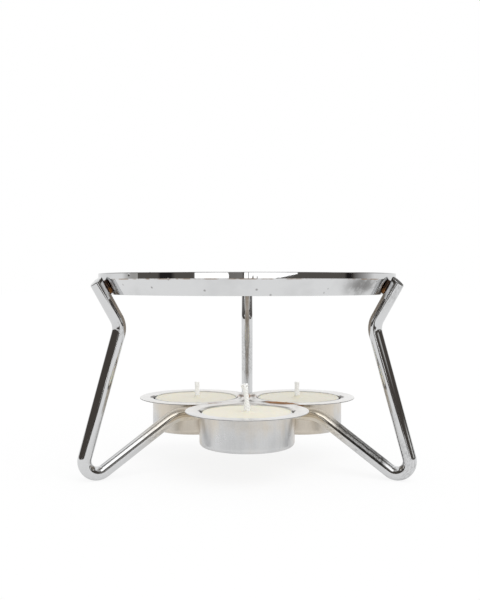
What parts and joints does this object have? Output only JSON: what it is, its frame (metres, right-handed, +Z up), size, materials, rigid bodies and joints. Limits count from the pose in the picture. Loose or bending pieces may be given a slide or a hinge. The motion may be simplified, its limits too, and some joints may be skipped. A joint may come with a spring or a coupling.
{
  "type": "fondue burner stand",
  "caption": "Chromed fondue burner stand: a ring for the pot on bent rod legs, over a cluster of flanged cups that hold tealight candles.",
  "frame": {"origin": "centre of the bounding box's bottom face, on the plane that the feet stand on", "axes": "+Z up, +Y towards the rear leg, +X to the right as seen from the front"},
  "size_m": [0.1448, 0.1486, 0.0892],
  "materials": {
    "chrome": "polished chrome plate on the ring and legs",
    "satin_steel": "satin pressed sheet steel",
    "tab_steel": "thin bright sheet",
    "thin_aluminium": "thin drawn foil, satin",
    "wax": "ivory candle wax, soft sheen",
    "wick": "white braided cotton",
    "braze": "heat-browned filler metal"
  },
  "bodies": {
    "stand": {"cup_braze_left": "braze", "cup_braze_rear": "braze", "cup_braze_right": "braze", "cup_front": "satin_steel", "cup_left": "satin_steel", "cup_right": "satin_steel", "hub_braze": "braze", "leg_left": "chrome", "leg_rear": "chrome", "leg_right": "chrome", "ring_braze_left": "braze", "ring_braze_rear": "braze", "ring_braze_right": "braze", "top_ring": "chrome"},
    "tealight_front": {"tealight_case_front": "thin_aluminium", "wax_front": "wax", "wick_front": "wick", "wick_tab_front": "tab_steel"},
    "tealight_left": {"tealight_case_left": "thin_aluminium", "wax_left": "wax", "wick_left": "wick", "wick_tab_left": "tab_steel"},
    "tealight_right": {"tealight_case_right": "thin_aluminium", "wax_right": "wax", "wick_right": "wick", "wick_tab_right": "tab_steel"}
  },
  "joints": [
    {"name": "tealight_front_lift", "type": "slide", "parent": "stand", "child": "tealight_front", "axis": [0, 0, 1], "range_m": [0, 0.085]},
    {"name": "tealight_left_lift", "type": "slide", "parent": "stand", "child": "tealight_left", "axis": [0, 0, 1], "range_m": [0, 0.085]},
    {"name": "tealight_right_lift", "type": "slide", "parent": "stand", "child": "tealight_right", "axis": [0, 0, 1], "range_m": [0, 0.085]}
  ]
}
